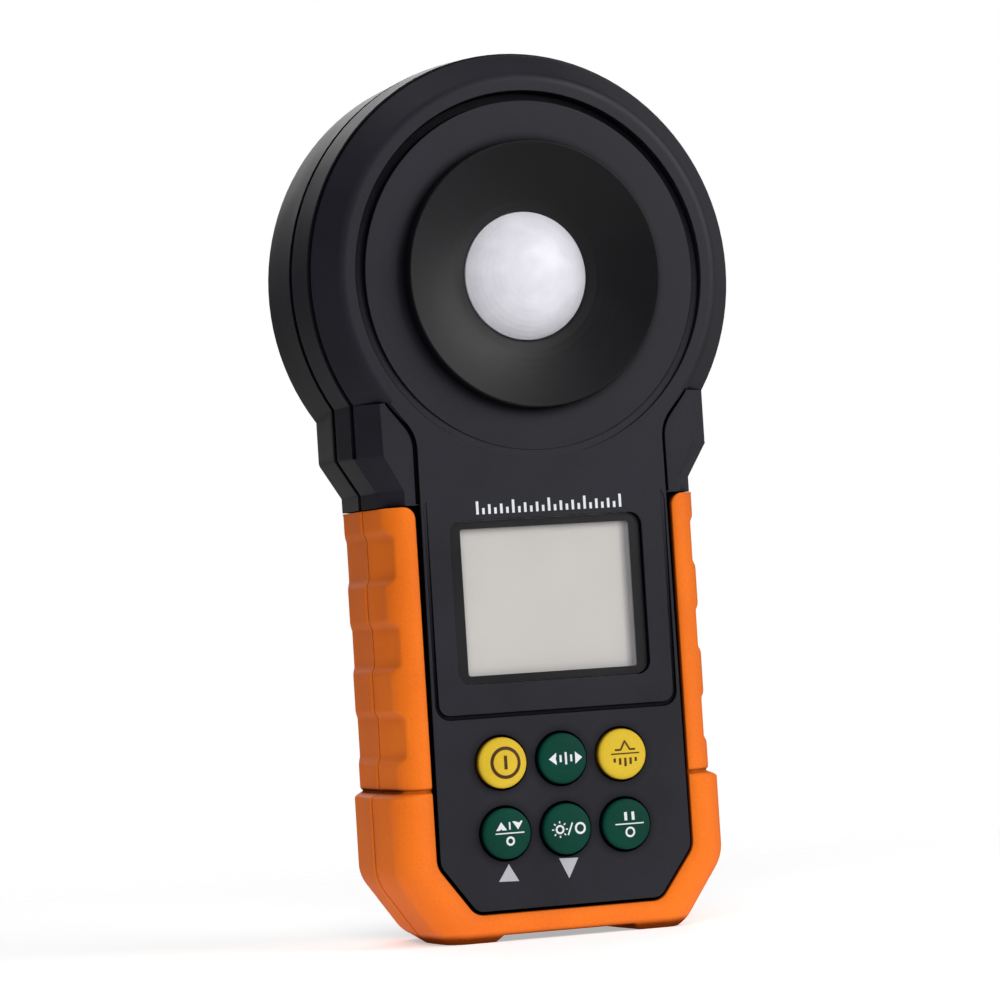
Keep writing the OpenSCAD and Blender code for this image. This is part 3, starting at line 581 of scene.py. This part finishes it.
INK, SINK = 0.03, 0.1                          # how far the ink stands over and under the surface
STROKE_STEP = 0.4
WEDGE_STEPS = 8


def stroke(path, width):
    """Centre line with a width, as (point, half width) pairs about STROKE_STEP apart."""
    points = [Vector(p) for p in path]
    dense = []
    for a, b in zip(points, points[1:]):
        steps = max(1, round((b - a).length / STROKE_STEP))
        dense += [a.lerp(b, i / steps) for i in range(steps)]
    dense.append(points[-1])
    return [(p, width / 2) for p in dense]


def polar(centre, radius, degrees):
    turn = math.radians(degrees)
    return (centre[0] + radius * math.cos(turn), centre[1] + radius * math.sin(turn))


def circle(centre, radius, width):
    steps = max(10, round(radius * 12))
    return stroke([polar(centre, radius, 360 * i / steps) for i in range(steps + 1)], width)


def wedge(base, tip, half_base):
    """Filled triangle from the middle of its base to its tip."""
    a, b = Vector(base), Vector(tip)
    shares = [i / WEDGE_STEPS for i in range(WEDGE_STEPS + 1)]
    return [(a.lerp(b, share), max(half_base * (1 - share), 0.02)) for share in shares]


def printed(name, marks, centre, height_at, material, body):
    """Thin ink strokes that lie on a surface. height_at gives its height at a point of the mark."""
    points, faces = [], []
    for mark in marks:
        first = len(points)
        for i, (p, half) in enumerate(mark):
            ahead = (mark[min(i + 1, len(mark) - 1)][0] - mark[max(i - 1, 0)][0]).normalized()
            across = Vector((-ahead.y, ahead.x)) * half
            left, right = p + across, p - across
            for spot, lift in ((left, INK), (right, INK), (right, -SINK), (left, -SINK)):
                points.append(Vector((centre[0] + spot.x, -height_at(spot) - lift, centre[1] + spot.y)) * MM)
        for i in range(len(mark) - 1):
            for k in range(4):
                a, b = first + 4 * i + k, first + 4 * i + (k + 1) % 4
                faces.append((a, b, b + 4, a + 4))
        last = first + 4 * (len(mark) - 1)
        faces.append(tuple(range(first + 3, first - 1, -1)))
        faces.append(tuple(range(last, last + 4)))
    return new_piece(name, mesh_from(name, points, faces, smooth=False), material, body, None)


KEY_CROWN = ((0.0, 0.0), (2.0, 0.05), (3.8, 0.2), (5.0, 0.4), (5.45, 0.6))     # radius and drop


def key_drop(spot):
    """How far the domed top of a key lies below its middle."""
    r = spot.length
    for (r0, d0), (r1, d1) in zip(KEY_CROWN, KEY_CROWN[1:]):
        if r <= r1:
            return d0 + (d1 - d0) * (r - r0) / (r1 - r0)
    return KEY_CROWN[-1][1]


RULE = stroke([(-3.4, 0.1), (3.6, 0.1)], 0.28)
RAY_ENDS = (1.4, 1.9)                          # of the small sun, from its middle
SUN = (-2.4, 0)
BARS = ((-1.2, 0.8), (0.1, 1.4), (1.4, 0.8))   # place and half height
DROPS = ((-2.6, 0.9), (-1.3, 1.5), (0, 1.9), (1.3, 1.5), (2.6, 0.9))           # place and length
KEY_MARKS = {
    "power": [
        circle((0.1, 0), 3.3, 0.75),
        stroke([(0.1, -1.5), (0.1, 1.6)], 0.75),
    ],
    "range": [
        wedge((-2.2, 0), (-4.0, 0), 1.4),
        wedge((2.4, 0), (4.2, 0), 1.4),
        *(stroke([(x, -half), (x, half)], 0.5) for x, half in BARS),
    ],
    "peak": [
        RULE,
        stroke([(-2.4, 1.0), (-1.0, 1.0), (0.1, 3.0), (1.2, 1.0), (2.6, 1.0)], 0.42),
        *(stroke([(x, -0.9), (x, -0.9 - length)], 0.55) for x, length in DROPS),
    ],
    "max_min": [
        RULE,
        wedge((-1.9, 0.8), (-1.9, 2.7), 1.3),
        wedge((2.1, 2.7), (2.1, 0.8), 1.3),
        stroke([(0.1, 0.9), (0.1, 2.6)], 0.4),
        circle((0.1, -1.7), 0.85, 0.5),
    ],
    "unit": [
        circle(SUN, 0.85, 0.45),
        stroke([(-0.5, -1.4), (0.7, 1.4)], 0.35),
        circle((2.6, 0), 1.15, 0.5),
        *(stroke([polar(SUN, radius, 45 * i) for radius in RAY_ENDS], 0.3) for i in range(8)),
    ],
    "hold": [
        RULE,
        stroke([(-0.8, 0.9), (-0.8, 2.8)], 0.7),
        stroke([(1.0, 0.9), (1.0, 2.8)], 0.7),
        circle((0.1, -1.8), 1.0, 0.45),
    ],
}
MARK_SHIFT = Vector((0.3, 0))                  # the marks sit a little right of the keys' middles


def print_keys():
    """One mark on each key, which rides on the key."""
    for key, marks in KEY_MARKS.items():
        lo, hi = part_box("key_" + key)
        top = -lo.y / MM
        centre = ((lo.x + hi.x) / 2 / MM, (lo.z + hi.z) / 2 / MM)
        ink = BROWN_INK if KEY_SHADES[key] is YELLOW else WHITE_INK
        shifted = [[(p + MARK_SHIFT, half) for p, half in mark] for mark in marks]

        def height_at(spot, top=top):
            return top - key_drop(spot)

        printed("print_" + key, shifted, centre, height_at, ink, "key_" + key)


TICKS = 25
TICK_LEFT, TICK_SPAN, TICK_Z = -16.5, 35.0, 97.1     # row of scale ticks over the display
TICK_HEIGHTS = (3.0, 2.2, 1.4)                 # every sixth, every second and the others
TICK_W = 0.62


def print_face():
    """Two arrows under the keys, and a row of scale ticks over the display."""
    def level(spot):
        return -FACE_Y

    arrows = [wedge((-14.45, 13.6), (-14.3, 17.5), 2.45), wedge((0.35, 17.8), (0.2, 13.2), 2.35)]
    printed("print_arrows", arrows, (0, 0), level, GREY_INK, "case")
    long, middle, short = TICK_HEIGHTS
    ticks = []
    for i in range(TICKS):
        x = TICK_LEFT + TICK_SPAN * i / (TICKS - 1)
        tall = long if i % 6 == 0 else middle if i % 2 == 0 else short
        ticks.append(stroke([(x, TICK_Z), (x, TICK_Z + tall)], TICK_W))
    printed("print_scale", ticks, (0, 0), level, WHITE_INK, "case")


# Camera, lights and floor ------------------------------------------------------------------------

YAW, PITCH, ROLL = math.radians(20.79), math.radians(-1.42), math.radians(3.61)
DISTANCE = 1.12018
AIM = Vector((-0.00433, 0.0, 0.10058))
LENS, SENSOR = 174.36, 36

PATCHES = (                                    # direction, where it starts and is full, strength
    ((0.3, 0.85, 0.42), 0.82, 0.99, 2.7),      # backdrop behind to the right
    ((-0.17, -0.08, 0.98), 0.93, 1.0, 1.4),    # overhead
    ((0.94, 0.25, 0.02), 0.85, 1.0, 0.3),      # right
)
DIM_LIGHT = 0.06                               # the room between the patches
GROUND_LIGHT = 0.3
FLOOR_GLOW = 0.42
FLOOR_HALF = 2
FLOOR_SOLID, FLOOR_GONE = 0.1, 0.4             # distance from the object where the floor fades out


def make_camera():
    """Camera that looks at AIM from DISTANCE away."""
    forward = Vector((math.sin(YAW) * math.cos(PITCH), math.cos(YAW) * math.cos(PITCH), -math.sin(PITCH)))
    level = Vector((math.cos(YAW), -math.sin(YAW), 0))
    upright = level.cross(forward)
    right = math.cos(ROLL) * level - math.sin(ROLL) * upright
    up = math.sin(ROLL) * level + math.cos(ROLL) * upright
    data = bpy.data.cameras.new("camera")
    data.lens = LENS
    data.sensor_width = SENSOR
    data.clip_start, data.clip_end = 0.05, 100
    camera = bpy.data.objects.new("camera", data)
    scene.collection.objects.link(camera)
    turn = Matrix((right, up, -forward)).transposed().to_4x4()
    camera.matrix_world = Matrix.Translation(AIM - forward * DISTANCE) @ turn
    scene.camera = camera


def area_light(name, place, aim, size, power, glossy=True):
    """Lamp panel. Without glossy, it lights the object but isn't mirrored in it."""
    data = bpy.data.lights.new(name, "AREA")
    data.shape = "RECTANGLE"
    data.size, data.size_y = size
    data.energy = power
    light = bpy.data.objects.new(name, data)
    scene.collection.objects.link(light)
    light.location = place
    light.rotation_mode = "QUATERNION"
    light.rotation_quaternion = (Vector(aim) - Vector(place)).to_track_quat("-Z", "Y")
    light.visible_camera = False
    light.visible_glossy = glossy


def studio_world():
    """White background; for lighting, soft bright patches in a dim room."""
    world = bpy.data.worlds.new("studio")
    world.use_nodes = True
    n = Nodes(world.node_tree)
    background = n.tree.nodes["Background"]
    direction = n.add("ShaderNodeTexCoord").outputs["Generated"]
    room = DIM_LIGHT
    for aim, low, high, strength in PATCHES:
        toward = n.add("ShaderNodeVectorMath")
        toward.operation = "DOT_PRODUCT"
        n.feed(toward, 0, direction)
        n.feed(toward, 1, Vector(aim).normalized())
        patch = n.span(toward.outputs["Value"], low, high, 0.0, strength, easing="SMOOTHSTEP")
        room = n.maths("ADD", patch, room)
    height = n.add("ShaderNodeSeparateXYZ", Vector=direction).outputs["Z"]
    light = n.blend(n.span(height, 0.0, -0.25), room, GROUND_LIGHT)
    seen = n.add("ShaderNodeLightPath").outputs["Is Camera Ray"]
    n.feed(background, "Strength", n.blend(seen, light, 1.0))
    n.feed(background, "Color", (1, 1, 1, 1))
    scene.world = world


def make_floor():
    """Pale floor that fades into the white background."""
    corners = [(x * FLOOR_HALF, y * FLOOR_HALF, 0) for x, y in ((-1, -1), (1, -1), (1, 1), (-1, 1))]
    mesh = mesh_from("floor", corners, [(0, 1, 2, 3)])
    floor = bpy.data.objects.new("floor", mesh)
    scene.collection.objects.link(floor)
    floor.visible_glossy = False
    n = Surface("pale_floor")
    n.feed(n.shader, "Base Color", n.mix(n.noise(3.0), rgb("f0f0f0"), rgb("f6f6f6")))
    n.shader.inputs["Roughness"].default_value = 0.9
    n.shader.inputs["Specular IOR Level"].default_value = 0.0
    n.shader.inputs["Emission Color"].default_value = (1, 1, 1, 1)
    n.shader.inputs["Emission Strength"].default_value = FLOOR_GLOW
    reach = n.add("ShaderNodeVectorMath")
    reach.operation = "LENGTH"
    n.feed(reach, 0, n.place)
    n.feed(n.shader, "Alpha", n.span(reach.outputs["Value"], FLOOR_SOLID, FLOOR_GONE, 1.0, 0.0))
    mesh.materials.append(n.material)


def make_stage():
    """World, lamps and floor."""
    scene.view_settings.view_transform = "Standard"
    studio_world()
    area_light("key", (0.78, -0.80, 0.60), (0, 0, 0.1), (0.9, 0.9), 7.8)
    area_light("fill", (-0.5, -1.05, 0.62), (0, 0, 0.1), (0.8, 0.8), 9.0, glossy=False)
    make_floor()


make_camera()
make_stage()
finish_nodes()
print_keys()
print_face()
overmould("front_grip", "front_overmould", 1, height=17.0, radius=5.5, drafts=(0.2, 0.2), floor_h=14.7)
overmould("rear_grip", "rear_overmould", -1, height=22.0, radius=6.0, drafts=(1.55, 2.1), floor_h=19.7)
